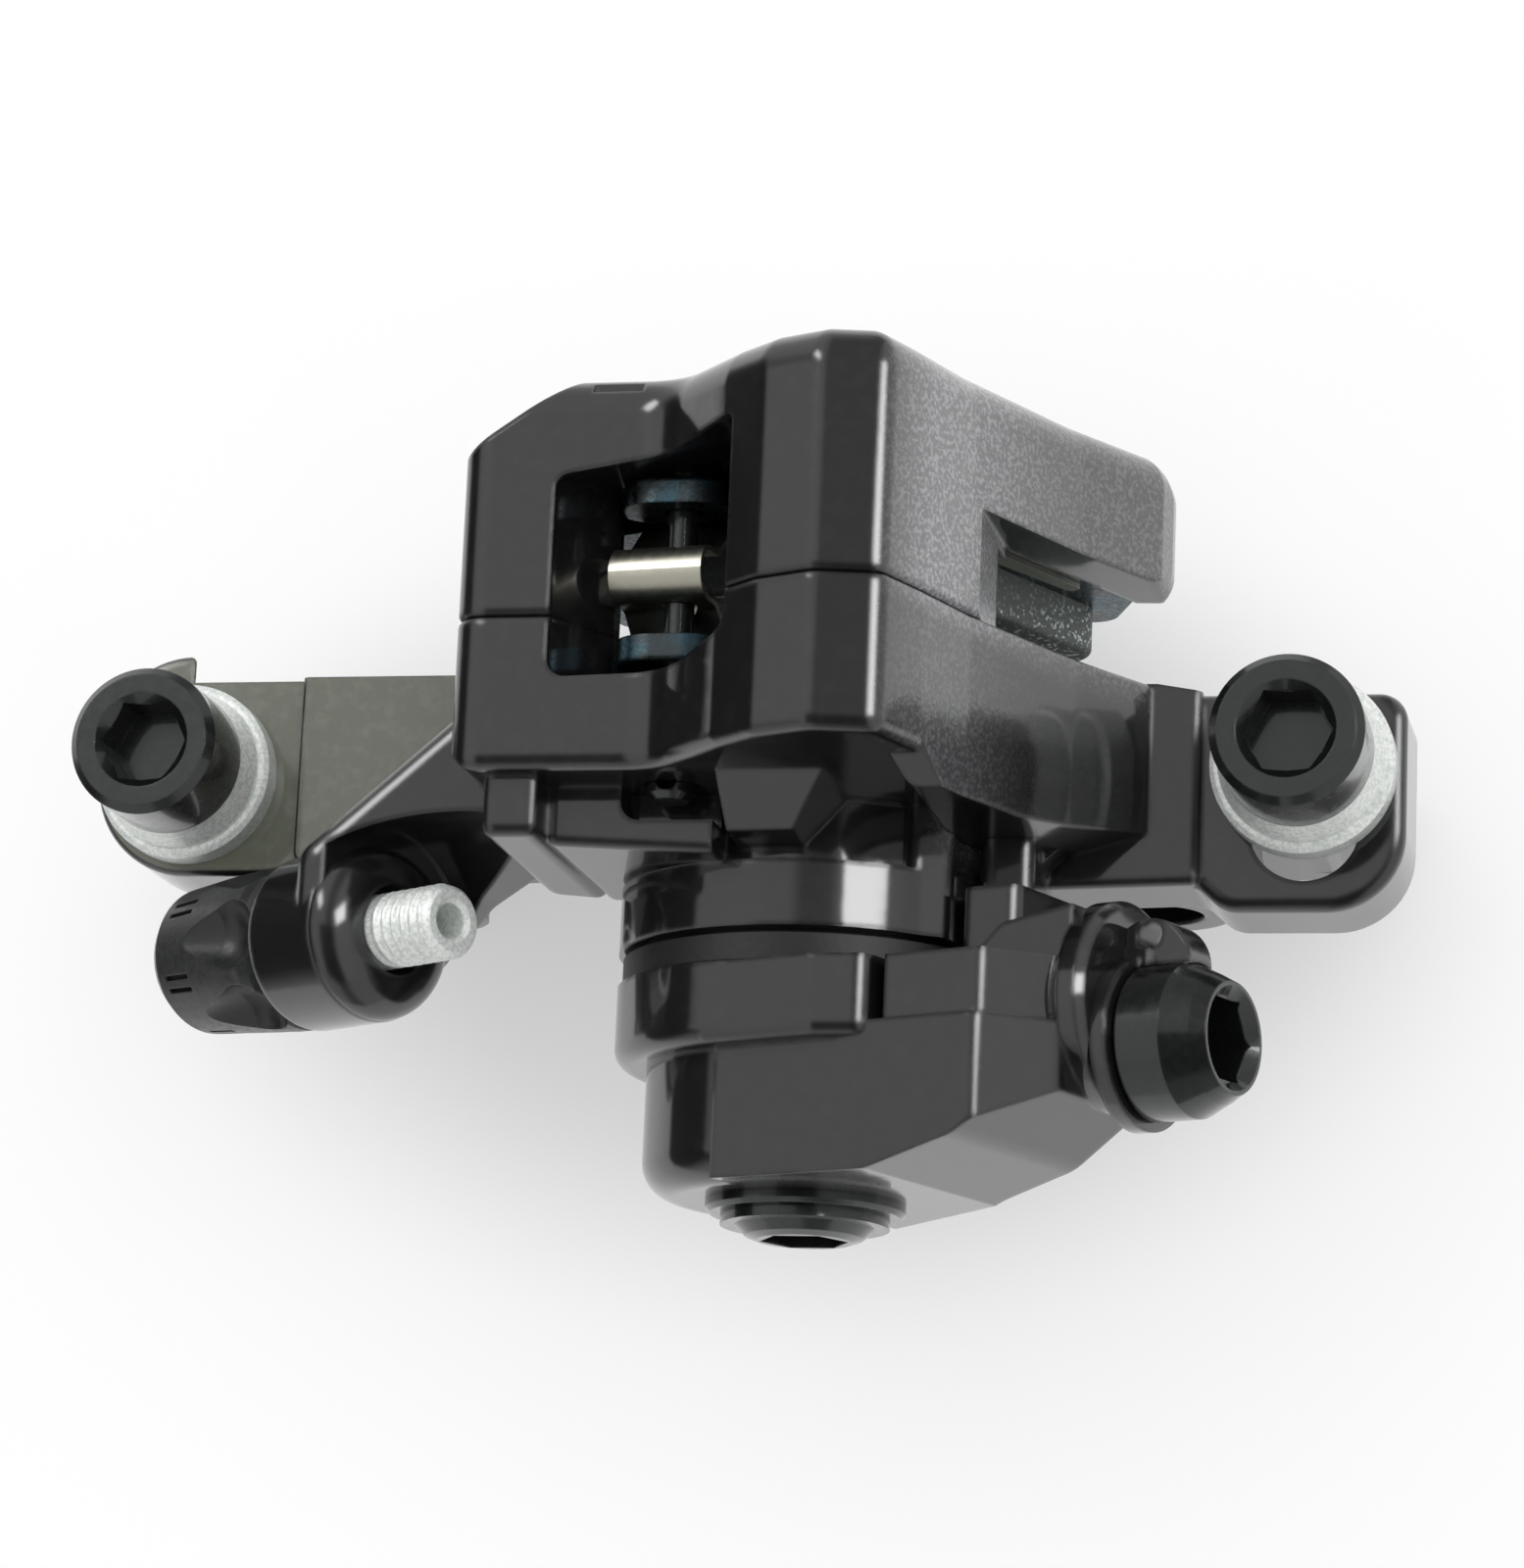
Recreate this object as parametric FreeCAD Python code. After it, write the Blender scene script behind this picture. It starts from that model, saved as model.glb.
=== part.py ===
import FreeCAD, Part
import math
import os

V = FreeCAD.Vector
os.makedirs("parts", exist_ok=True)

# A bicycle disc brake caliper worked by a cable, on the bracket that holds it to a frame.
# Lengths are in millimetres. While the pieces are made, X runs along the line of the two mount
# bolts, Y runs across the rotor towards the wheel and Z runs along the mount bolts towards their
# heads. Zero is midway between the mount bolts, on the top faces of the ears. The last lines move
# everything so that zero is midway between the frame holes, on the face that meets the frame.

# Standard sizes of the fixing
mount_spacing = 74.0
frame_hole_spacing = 51.0
frame_hole_r = 3.2
face_to_rotor = 15.3
rotor_thick = 1.8
rotor_edge_r = 80.0

# Fits between pieces
turn_clear = 0.05
slide_clear = 0.15
pad_clear = 0.3

# Where the main planes and axes lie
rotor_y = 9.1
parting_y = 5.5
wheel_face_y = 21.2
flange_inner_y = 12.45
flange_drop = 0.2
seam_round = 0.45
arm_face_y = -4.3
shoulder_y = -8.1
shoulder_low_z = -1.5
shoulder_x0 = -12.1
shoulder_x1 = -8.6
shoulder_a_z = 17.6
shoulder_b_z = 14.6
face_x0 = 3.0
face_x1 = 9.8
face_end_y = -7.3
face_end_z = 15.0
cam_x = 5.8
cam_z = 0.0
body_bottom_z = -14.5
rotor_gap_z = 12.3

post_x0 = 17.8
post_x1 = 20.6
post_top_z = 7.0
cheek_x0 = 15.6
cheek_x1 = 21.0
cheek_y = -6.0
flank_top_z = 3.2
post_end_y = -9.4

# Outline of the body seen along the rotor axis
body_left_x = -14.2
body_top_z = 19.4
body_corner = 2.2
bulge_start_x = -1.0
bulge_foot_x = 4.0
bulge_foot_z = 24.75
bulge_mid_x = 6.8
bulge_mid_z = 27.2
bulge_rise_x = 10.7
bulge_rise_z = 28.9
bulge_peak_x = 14.9
bulge_peak_z = 28.0
bulge_right_x = 16.6
bulge_right_z = 23.6
slope_top_x = 18.5
slope_top_z = 18.0
slope_mid_x = 23.4
slope_mid_z = 7.1
slope_foot_x = 27.5
wheel_end_x = 27.9
plan_corner_x = -6.2
plan_corner_y = 15.7
plan_edge_y = 21.4

# Ears of the arm side body
ear_thick = 7.0
neck_thick = 6.0
ear_left_r = 6.6
ear_left_top_y = 7.7
ear_step_x = -29.4
ear_block_rise = 1.1
ear_right_step_x = 30.4
ear_right_x1 = 43.4
ear_right_y0 = -9.2
ear_right_y1 = 5.0
ear_right_corner = 5.0
ear_right_rise = 0.6
slot_w = 7.0
slot_r_low = -3.8
slot_r_high = 0.4
slot_l_low = -2.3
slot_l_high = 0.4
tongue_x = 19.6
tongue_y = -7.9
neck_y = -7.6

# Window over the pads
window_x0 = -7.9
window_x1 = 4.6
window_floor_x = -5.1
window_floor_z = 13.6
window_y_low_left = 1.5
window_y_low_right = 3.0
window_y_high_left = 14.5
window_y_high_right = 16.6

# Pads
plate_thick = 1.75
lining_thick = 3.2
lining_gap = 0.15
pad_bottom_z = -13.0
pad_top_z = 9.4
ear_pad_x = -1.0
ear_pad_w = 7.3
ear_pad_top_z = 17.0
ear_pad_neck = 1.5
pad_foot_x0 = -11.4
pad_foot_x1 = 22.4
pad_side_x0 = -10.6
pad_side_x1 = 25.0
pad_side_z = -6.6
pad_shoulder_x0 = -6.6
pad_shoulder_x1 = 18.0
pad_shoulder_z = 8.4
lining_side = 2.2
lining_top = 2.6
lining_foot = 0.8
lining_right_x = 21.8
lining_right_z = -9.8
pin_x = -0.8
pin_z = 14.3
pin_r = 0.95
pin_head_r = 1.55
pin_head_y = -5.3
pin_head_len = 2.4
pin_hole_r = 0.7

# Leaf spring between the pads
leaf_thick = 0.35
fold_r = 1.8
fold_z = 15.0
fold_len = 6.2
fold_tilt = 8.0

# Cam housing, ramps and balls
housing_r = 12.6
housing_end_y = -12.7
neck_ring_r = 11.6
ring_start_y = -8.5
bore_r = 8.8
bore_floor_y = -10.2
shaft_r = 4.0
ball_r = 2.0
ball_pitch_r = 6.2
ball_y = -5.7
race_depth = 0.95
ramp_thick = 3.4
cage_thick = 1.0
foot_r = 6.0
foot_thick = 2.2
stem_r = 3.0
seal_r = 12.3
seal_lip_r = 11.1
seal_lip_y = -13.1
seal_end_y = -14.8
coil_wire_r = 0.6
coil_r = 6.6
coil_turns = 2.5

# Arm
arm_top_y = -14.9
tab_end_x = 11.3
step_x0 = 11.9
step_deep = 4.1
arm_skirt_y = -20.0
arm_end_y = -28.2
arm_skirt_r = 12.6
arm_hub_r = 10.5
arm_cup_r = 9.8
arm_cup_y = -19.7
arm_lift = 22.0
arm_front_z = 10.8
arm_reach_x = 18.8
arm_flange_x = 21.6
arm_flange_thick = 2.2
arm_flange_r = 6.6
arm_flange_y = -17.2
clamp_y = -19.6
clamp_head_r = 4.8
clamp_nose_r = 3.5
clamp_head_len = 5.9
clamp_shank_r = 2.5
clamp_plate_thick = 1.1
lobe_r = 2.9
lobe_hole_r = 0.85
button_r = 5.4
button_h = 1.6
arm_washer_r = 6.4
arm_washer_t = 0.8

# Cable stop, barrel screw and knob
stop_lift = 32.3
stop_end_x = -21.2
stop_end_y = -12.1
stop_bar_z = 11.6
stop_end_z = 7.3
stop_r = 5.7
stop_len = 6.6
stop_hole_r = 2.5
barrel_r = 2.45
barrel_bore_r = 1.15
barrel_out = 7.0
thread_pitch = 0.85
thread_depth = 0.22
knob_len = 11.3
knob_r = 5.55
knob_end_r = 4.65
knob_gap = 0.05
casing_seat_r = 3.05
casing_seat_deep = 2.4
knob_flutes = 6

# Screws and washers
mount_head_r = 4.85
mount_head_h = 6.0
mount_shank_r = 3.0
mount_len = 20.0
hex_key = 5.0
washer_r = 5.9
washer_t = 2.0
ball_washer_r = 5.3
ball_washer_t = 2.6
body_bolt_left_x = -10.5
body_bolt_left_z = 14.9
body_bolt_left_r = 2.0
body_bolt_left_top = 15.6
body_bolt_right_x = 11.0
body_bolt_right_z = 20.6
body_bolt_right_r = 2.5
body_bolt_right_top = 20.0

# Bracket
bracket_y0 = rotor_y - face_to_rotor
bracket_web_y0 = -3.0
bracket_web_y1 = 3.6
bracket_post_w = 10.8
frame_hole_z = -15.5
frame_boss_r = 5.0
frame_boss_y1 = 2.0
boss_gap = 2.1
boss_relief_x = frame_hole_spacing / 2 - frame_boss_r - boss_gap
bracket_arch_z = -15.2
bracket_low_z = -19.6
bracket_post_z = -19.2
bracket_corner = 2.5

# Screw that sets the wheel side pad
set_disc_r = 8.0
set_disc_t = 2.0
set_shank_r = 5.0
dial_r = 8.2
dial_h = 3.0
dial_notches = 12


def turned(points, base, axis):
    """A solid of revolution from (distance along the axis, radius) points."""
    ring = [V(r, 0, y) for y, r in points]
    ring.append(ring[0])
    solid = Part.Face(Part.makePolygon(ring)).revolve(V(0, 0, 0), V(0, 0, 1), 360)
    solid.Placement = FreeCAD.Placement(base, FreeCAD.Rotation(V(0, 0, 1), axis))
    return solid


def rod(r, x, z, y0, y1):
    """A round bar along Y."""
    return Part.makeCylinder(r, y1 - y0, V(x, y0, z), V(0, 1, 0))


def loop(points):
    """A closed wire in a plane from (u, v, corner radius) points."""
    edges = []
    ends = []
    count = len(points)
    for i in range(count):
        here = V(points[i][0], points[i][1], 0)
        before = V(points[i - 1][0], points[i - 1][1], 0)
        after = V(points[(i + 1) % count][0], points[(i + 1) % count][1], 0)
        r = points[i][2]
        if r <= 0:
            ends.append((here, here, here))
            continue
        a = (before - here).normalize()
        b = (after - here).normalize()
        half = math.acos(max(-1.0, min(1.0, a.dot(b)))) / 2
        back = r / math.tan(half)
        middle = here + (a + b).normalize() * (r / math.sin(half) - r)
        ends.append((here + a * back, middle, here + b * back))
    for i in range(count):
        start, middle, stop = ends[i]
        if start.distanceToPoint(stop) > 1e-6:
            edges.append(Part.Arc(start, middle, stop).toShape())
        nxt = ends[(i + 1) % count][0]
        if stop.distanceToPoint(nxt) > 1e-6:
            edges.append(Part.LineSegment(stop, nxt).toShape())
    return Part.Wire(edges)


def slab_y(points, y0, y1):
    """A slab with an (x, z, radius) outline between two values of Y."""
    face = Part.Face(loop(points))
    face.rotate(V(0, 0, 0), V(1, 0, 0), 90)
    face.translate(V(0, y1, 0))
    return face.extrude(V(0, y0 - y1, 0))


def slab_z(points, z0, z1):
    """A slab with an (x, y, radius) outline between two values of Z."""
    face = Part.Face(loop(points))
    face.translate(V(0, 0, z0))
    return face.extrude(V(0, 0, z1 - z0))


def slab_x(points, x0, x1):
    """A slab with a (y, z, radius) outline between two values of X."""
    face = Part.Face(loop(points))
    face.rotate(V(0, 0, 0), V(1, 1, 1), 120)
    face.translate(V(x0, 0, 0))
    return face.extrude(V(x1 - x0, 0, 0))


def box(x0, x1, y0, y1, z0, z1):
    return Part.makeBox(x1 - x0, y1 - y0, z1 - z0, V(x0, y0, z0))


def joined(shapes):
    solid = shapes[0]
    for other in shapes[1:]:
        solid = solid.fuse(other)
    return solid.removeSplitter()


def less(solid, tools):
    for tool in tools:
        solid = solid.cut(tool)
    return solid


def soften(solid, radius, keep):
    """Round the edges that a test picks, by less where the full radius doesn't fit."""
    edges = [e for e in solid.Edges if keep(e)]
    for share in (1.0, 0.7, 0.4):
        try:
            done = solid.makeFillet(radius * share, edges)
        except Exception:
            continue
        if done.isValid() and done.Solids:
            return done
    print("left sharp", radius, len(edges))
    return solid


def hexagon(size, length, base, axis):
    """A six sided bar, size across its flats."""
    r = size / math.sqrt(3)
    pts = [V(r * math.cos(math.radians(60 * k)), r * math.sin(math.radians(60 * k)), 0)
           for k in range(7)]
    bar = Part.Face(Part.makePolygon(pts)).extrude(V(0, 0, length))
    bar.Placement = FreeCAD.Placement(base, FreeCAD.Rotation(V(0, 0, 1), axis))
    return bar


def body_outline(right_x, tuck):
    """The body seen along the rotor axis, as (x, z, radius)."""
    low_z = body_bottom_z
    return [
        (body_left_x, low_z, 0),
        (body_left_x, body_top_z, body_corner),
        (bulge_start_x, body_top_z, 4.0),
        (bulge_foot_x, bulge_foot_z, 2.0),
        (bulge_mid_x, bulge_mid_z, 2.0),
        (bulge_rise_x, bulge_rise_z, 1.6),
        (bulge_peak_x, bulge_peak_z, 1.4),
        (bulge_right_x, bulge_right_z, 4.0),
        (slope_top_x, slope_top_z, 3.0),
        (slope_mid_x, slope_mid_z, 8.0),
        (slope_foot_x, 0.0, 0),
        (right_x, -2.0, 0),
        (right_x, -3.0, 0),
        (right_x - tuck, low_z, 0),
    ]


def pad_room():
    """The room for both pads, open below and at the right."""
    top = rotor_gap_z
    return slab_y([
        (-12.2, body_bottom_z - 1, 0),
        (-8.6, 7.0, 2.0),
        (-7.2, top, 1.0),
        (16.4, top, 1.0),
        (18.4, 9.2, 2.0),
        (25.2, -4.6, 0),
        (wheel_end_x + 1, -4.6, 0),
        (wheel_end_x + 1, body_bottom_z - 1, 0)],
        plate_y(-1) - plate_thick - pad_clear, pad_back_y() + pad_clear)


def rotor_sweep():
    """The path of the rotor between the pads."""
    half = rotor_y - parting_y - 1.0
    reach = rotor_edge_r + 1.2
    centre_z = rotor_gap_z - reach
    return rod(reach, cam_x, centre_z, rotor_y - half, rotor_y + half)


def window():
    """The opening over the pad ears, with a sloped left wall."""
    side = slab_y([
        (window_x0, 40, 0),
        (window_x0, body_top_z - 0.6, 0.6),
        (window_floor_x, window_floor_z, 0.8),
        (window_floor_x, 4, 0),
        (window_x1, 4, 0),
        (window_x1, 40, 0)], 0, wheel_face_y)
    plan = slab_z([
        (window_x0, window_y_low_left, 1.2),
        (window_x1 - 3.6, window_y_low_left + 0.3, 2.0),
        (window_x1, window_y_low_right, 1.6),
        (window_x1, window_y_high_right, 0.5),
        (window_x0, window_y_high_left, 1.0)], 3, 41)
    return side.common(plan)


def at_level(axis, value, tol=0.01):
    """A test for edges that lie wholly at one value of an axis."""
    def test(edge):
        b = edge.BoundBox
        low, high = {"x": (b.XMin, b.XMax), "y": (b.YMin, b.YMax), "z": (b.ZMin, b.ZMax)}[axis]
        return abs(low - value) < tol and abs(high - value) < tol
    return test


def wheel_side_body():
    full = slab_y(body_outline(wheel_end_x, 6.5), flange_inner_y - flange_drop, wheel_face_y)
    full = soften(full, 2.6, lambda e: at_level("y", wheel_face_y)(e)
                  and e.CenterOfMass.x > bulge_right_x - 0.3)
    full = soften(full, 1.0, lambda e: at_level("y", wheel_face_y)(e)
                  and e.CenterOfMass.x < bulge_right_x - 0.4)
    full = full.common(slab_z([
        (body_left_x - 1, flange_inner_y, 0),
        (slope_top_x, flange_inner_y, 0),
        (wheel_end_x, flange_inner_y - flange_drop, 1.2),
        (wheel_end_x, wheel_face_y, 3.0),
        (body_left_x - 1, wheel_face_y, 0)], body_bottom_z - 1, 40))
    part = slab_y(body_outline(wheel_end_x, 6.5), parting_y, flange_inner_y + 1)
    part = part.common(box(body_left_x - 1, slope_top_x + 0.3, 0, 30, body_bottom_z, 40))
    part = soften(part, seam_round, lambda e: at_level("y", parting_y)(e) and e.CenterOfMass.z > 5)
    solid = joined([full, part])
    corner = slab_z([
        (body_left_x - 2, plan_corner_y - 0.4, 0),
        (body_left_x - 0.3, plan_corner_y, 3.5),
        (plan_corner_x, plan_edge_y, 0),
        (plan_corner_x, plan_edge_y + 4, 0),
        (body_left_x - 2, plan_edge_y + 4, 0)], body_bottom_z - 1, 40)
    notch = box(-5.9, -2.7, wheel_face_y - 1.2, wheel_face_y + 1, body_top_z - 1.0, 40)
    holes = [corner, notch, pad_room(), rotor_sweep(), window()]
    for x, z, r, top in body_bolts():
        holes.append(rod(r + slide_clear, x, z, 0, 40))
        holes.append(rod(bolt_head_r(r) + slide_clear, x, z, top - 2 * r, 40))
    holes.append(rod(set_shank_r + turn_clear, cam_x, cam_z, 0, 40))
    holes.append(rod(set_disc_r + pad_clear, cam_x, cam_z, 0, pad_back_y() + set_disc_t))
    holes.append(rod(pin_r, pin_x, pin_z, 0, wheel_face_y - 1.6))
    return less(solid, holes)


def body_bolts():
    """Place, shank radius and head top of the two screws that join the halves."""
    return [(body_bolt_left_x, body_bolt_left_z, body_bolt_left_r, body_bolt_left_top),
            (body_bolt_right_x, body_bolt_right_z, body_bolt_right_r, body_bolt_right_top)]


def bolt_head_r(shank_r):
    return shank_r * 1.55


def lining_y(side):
    """Inner face of a pad lining: side is +1 for the wheel side and -1 for the arm side."""
    return rotor_y + side * (rotor_thick / 2 + lining_gap)


def plate_y(side):
    return lining_y(side) + side * lining_thick


def pad_back_y():
    return plate_y(1) + plate_thick


def left_ear():
    left = -mount_spacing / 2
    plate = slab_z([
        (left - ear_left_r, -ear_left_r, ear_left_r - 0.05),
        (left - ear_left_r, ear_left_top_y + 0.9, ear_left_r - 0.4),
        (body_left_x + 1, ear_left_top_y, 0),
        (body_left_x + 1, arm_face_y, 0),
        (-24.0, -ear_left_r, 4.0)], -ear_thick, 0)
    plate = soften(plate, 0.6, at_level("z", 0))
    block = slab_z([
        (ear_step_x, -ear_left_r + 0.4, 1.0),
        (ear_step_x, ear_left_top_y + 0.2, 1.0),
        (body_left_x + 1, ear_left_top_y - 0.1, 0),
        (body_left_x + 1, arm_face_y + 0.3, 0),
        (-23.8, -ear_left_r + 0.4, 4.0)], -1, ear_block_rise)
    block = soften(block, 0.5, at_level("z", ear_block_rise))
    foot = slab_y([
        (body_left_x - 3.0, 0, 0),
        (body_left_x - 0.6, 3.4, 2.0),
        (body_left_x + 0.5, 8.0, 0),
        (body_left_x + 0.5, 0, 0)], arm_face_y, parting_y)
    return [plate, block, foot]


def right_ear():
    plate = slab_z([
        (ear_right_step_x - 1, ear_right_y1, 0),
        (ear_right_x1, ear_right_y1, 1.8),
        (ear_right_x1, ear_right_y0, ear_right_corner),
        (ear_right_step_x + 1.6, ear_right_y0, 2.2),
        (ear_right_step_x - 0.2, neck_y, 1.0),
        (ear_right_step_x - 1, neck_y, 0)], -ear_thick, 0)
    plate = soften(plate, 0.8, lambda e: at_level("z", 0)(e)
                   and e.CenterOfMass.x > ear_right_step_x)
    neck = slab_z([
        (slope_foot_x - 4, parting_y, 0),
        (slope_foot_x, parting_y, 0.5),
        (ear_right_step_x, ear_right_y1, 0),
        (ear_right_step_x, neck_y, 0.6),
        (tongue_x, tongue_y, 0.3),
        (slope_foot_x - 4, arm_face_y, 0)], -neck_thick, ear_right_rise)
    neck = soften(neck, 0.5, lambda e: at_level("z", ear_right_rise)(e)
                  and e.CenterOfMass.y < arm_face_y)
    return [plate, neck]


def shoulders():
    """The lower steps beside the pin head, the face over the housing and the stop post."""
    low = slab_y([
        (shoulder_x0, shoulder_low_z + 1.5, 1.5),
        (shoulder_x0, shoulder_a_z, 0.8),
        (shoulder_x1, shoulder_a_z, 0.4),
        (shoulder_x1, shoulder_low_z, 0)], shoulder_y, arm_face_y + 1)
    low = soften(low, 0.7, at_level("y", shoulder_y))
    mid = slab_y([
        (shoulder_x1, shoulder_low_z, 0),
        (shoulder_x1, shoulder_b_z, 0.4),
        (face_x0 - 1.0, shoulder_b_z, 0),
        (face_x0 - 1.0, shoulder_low_z - 1.5, 0)], shoulder_y - 0.5, arm_face_y + 1)
    mid = mid.cut(slab_z([
        (shoulder_x1 - 0.1, shoulder_y + 0.1, 0), (face_x0, shoulder_y - 0.52, 0),
        (face_x0, shoulder_y - 2, 0), (shoulder_x1 - 0.1, shoulder_y - 2, 0)], -20, 30))
    mid = soften(mid, 0.6, lambda e: at_level("z", shoulder_b_z)(e)
                 and e.CenterOfMass.y < shoulder_y + 0.6)
    face = slab_x([
        (arm_face_y + 1, -neck_thick, 0),
        (arm_face_y + 1, body_top_z - 0.3, 0),
        (arm_face_y, body_top_z - 0.5, 0.4),
        (face_end_y, face_end_z, 0.5),
        (ring_start_y, -neck_thick, 0)], face_x0, face_x1 + 1)
    face = face.common(slab_z([
        (face_x0, arm_face_y + 1, 0),
        (face_x0, ring_start_y, 0),
        (face_x1 - 2.8, ring_start_y, 0),
        (face_x1 - 2.6, face_end_y, 1.5),
        (face_x1, arm_face_y, 0),
        (face_x1, arm_face_y + 1, 0)], -20, 40))
    post = slab_y([
        (post_x0, -3.0, 0),
        (post_x0 - 0.2, post_top_z, 0.8),
        (post_x1 + 0.3, post_top_z - 0.4, 0.8),
        (post_x1, -3.0, 1.0)], post_end_y, arm_face_y - 0.2)
    rib = slab_y([
        (cam_x + 7.6, -4.0, 0),
        (cam_x + 7.6, 9.9, 0.5),
        (cam_x + 10.2, 8.2, 1.0),
        (cam_x + 10.2, -4.0, 0)], housing_end_y, arm_face_y + 0.5)
    flank = slab_z([
        (slope_foot_x - 4, arm_face_y, 0),
        (tongue_x, tongue_y, 0),
        (cam_x + 9.0, ring_start_y, 0),
        (cam_x, arm_face_y + 1, 0)], -neck_thick, flank_top_z)
    cheek = slab_y(body_outline(slope_foot_x, 0.2), cheek_y - 1, arm_face_y + 1)
    cheek = cheek.common(slab_z([
        (cheek_x0 - 1.0, arm_face_y, 0),
        (cheek_x0, cheek_y, 1.0),
        (cheek_x1, cheek_y, 4.0),
        (slope_foot_x - 0.3, arm_face_y, 0),
        (slope_foot_x - 0.3, arm_face_y + 1, 0),
        (cheek_x0 - 1.0, arm_face_y + 1, 0)], -neck_thick, 40))
    cheek = cheek.common(slab_x([
        (arm_face_y + 1, -neck_thick, 0),
        (arm_face_y + 1, bulge_right_z, 0),
        (arm_face_y, bulge_right_z - 1.0, 0),
        (cheek_y - 1, bulge_right_z - 4.0, 0),
        (cheek_y - 1, -neck_thick, 0)], cheek_x0 - 2, slope_foot_x))
    return [low, mid, face, post, rib, flank, cheek]


def stop_axis():
    lift = math.radians(stop_lift)
    return V(math.cos(lift), 0, math.sin(lift))


def cable_stop():
    """The sloping arm that carries the cable stop, and the stop itself."""
    bar = slab_z([
        (body_left_x + 2, 2.6, 0),
        (body_left_x - 0.6, 2.2, 1.0),
        (-25.9, -7.6, 2.0),
        (-25.9, -12.5, 2.0),
        (-20.6, -15.3, 2.0),
        (-15.6, -9.0, 2.5),
        (body_left_x + 2, -6.6, 0)], 0.5, stop_bar_z)
    bar = soften(bar, 1.3, at_level("z", stop_bar_z))
    end = V(stop_end_x, stop_end_y, stop_end_z)
    back = end - stop_axis() * stop_len
    trim = Part.makeCylinder(14, 20, back, stop_axis() * -1)
    front = Part.makeCylinder(7.0, 16, end, stop_axis())
    boss = Part.makeCylinder(stop_r, stop_len, back, stop_axis())
    boss = soften(boss, 0.6, lambda e: e.Length > 2 * stop_r)
    bar = bar.cut(trim).cut(front)
    return joined([bar, boss])


def arm_side_body():
    core = slab_y(body_outline(slope_foot_x, 0.2), arm_face_y, parting_y)
    core = soften(core, 0.9, lambda e: at_level("y", arm_face_y)(e)
                  and e.CenterOfMass.z > 1.0)
    core = soften(core, seam_round, lambda e: at_level("y", parting_y)(e)
                  and e.CenterOfMass.z > 5)
    core = core.common(slab_z([
        (body_left_x, arm_face_y, 2.2),
        (slope_foot_x + 1, arm_face_y, 0),
        (slope_foot_x + 1, parting_y, 0),
        (body_left_x, parting_y, 0)], body_bottom_z - 1, 40))
    core = core.cut(slab_y([
        (slope_foot_x + 1, -1.8, 0),
        (slope_foot_x + 1, body_bottom_z - 1, 0),
        (boss_relief_x, body_bottom_z - 1, 0)], arm_face_y - 1, plate_y(-1) - plate_thick))
    housing = joined([rod(neck_ring_r, cam_x, cam_z, ring_start_y, parting_y - 2.2),
                      rod(housing_r, cam_x, cam_z, housing_end_y, ring_start_y)])
    solid = joined([core, housing] + left_ear() + right_ear() + shoulders() + [cable_stop()])
    right = mount_spacing / 2
    slots = []
    for x, low, high in ((-right, slot_l_low, slot_l_high), (right, slot_r_low, slot_r_high)):
        r = slot_w / 2
        slots.append(slab_z([(x - r, low - r, r - 0.01), (x + r, low - r, r - 0.01),
                             (x + r, high + r, r - 0.01), (x - r, high + r, r - 0.01)],
                            -ear_thick - 1, 3))
    pocket = slab_z([
        (pin_x - 3.1, arm_face_y, 0),
        (pin_x + 3.6, arm_face_y, 0),
        (pin_x + 3.6, pin_head_y - 1.2, 0),
        (pin_x - 3.1, pin_head_y - 1.2, 1.2)], pin_z - 2.2, 40)
    holes = slots + [pocket, pad_room(), rotor_sweep(), window()]
    holes.append(rod(bore_r, cam_x, cam_z, bore_floor_y, parting_y))
    holes.append(rod(shaft_r + 0.6, cam_x, cam_z, housing_end_y - 1, parting_y))
    holes.append(rod(pin_r, pin_x, pin_z, pin_head_y - 1, parting_y))
    holes.append(rod(pin_head_r + slide_clear, pin_x, pin_z, pin_head_y,
                     pin_head_y + pin_head_len))
    for x, z, r, top in body_bolts():
        holes.append(rod(r, x, z, arm_face_y + 1.4, parting_y))
    end = V(stop_end_x, stop_end_y, stop_end_z)
    holes.append(Part.makeCylinder(stop_hole_r, stop_len + 20, end - stop_axis() * (stop_len + 10),
                                   stop_axis()))
    return less(solid, holes)


def adapter_bracket():
    half = mount_spacing / 2
    w = bracket_post_w / 2
    c = bracket_corner
    hole = frame_hole_spacing / 2
    outline = [
        (-half - w, -ear_thick, 0.8), (-half + w, -ear_thick, 0.8),
        (-half + w + 1.6, bracket_arch_z, c), (half - w - 1.6, bracket_arch_z, c),
        (half - w, -ear_thick, 0.8), (half + w, -ear_thick, 0.8),
        (half + w, bracket_post_z, c), (hole, frame_hole_z - frame_boss_r, c),
        (hole - 9, bracket_low_z, c), (-hole + 9, bracket_low_z, c),
        (-hole, frame_hole_z - frame_boss_r, c), (-half - w, bracket_post_z, c)]
    solid = slab_y(outline, bracket_web_y0, bracket_web_y1)
    solid = soften(solid, 0.6, lambda e: (at_level("y", bracket_web_y0)(e)
                                          or at_level("y", bracket_web_y1)(e))
                   and e.CenterOfMass.z < -ear_thick - 1)
    bosses = [rod(frame_boss_r, side * hole, frame_hole_z, bracket_y0, frame_boss_y1)
              for side in (-1, 1)]
    solid = joined([solid] + bosses)
    holes = []
    for side in (-1, 1):
        holes.append(rod(frame_hole_r, side * hole, frame_hole_z, bracket_y0 - 1,
                         bracket_web_y1 + 1))
        deep = mount_len - washer_t - ball_washer_t - ear_thick + 1.5
        holes.append(Part.makeCylinder(mount_shank_r, deep, V(side * half, 0, -ear_thick),
                                       V(0, 0, -1)))
    return less(solid, holes)


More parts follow.
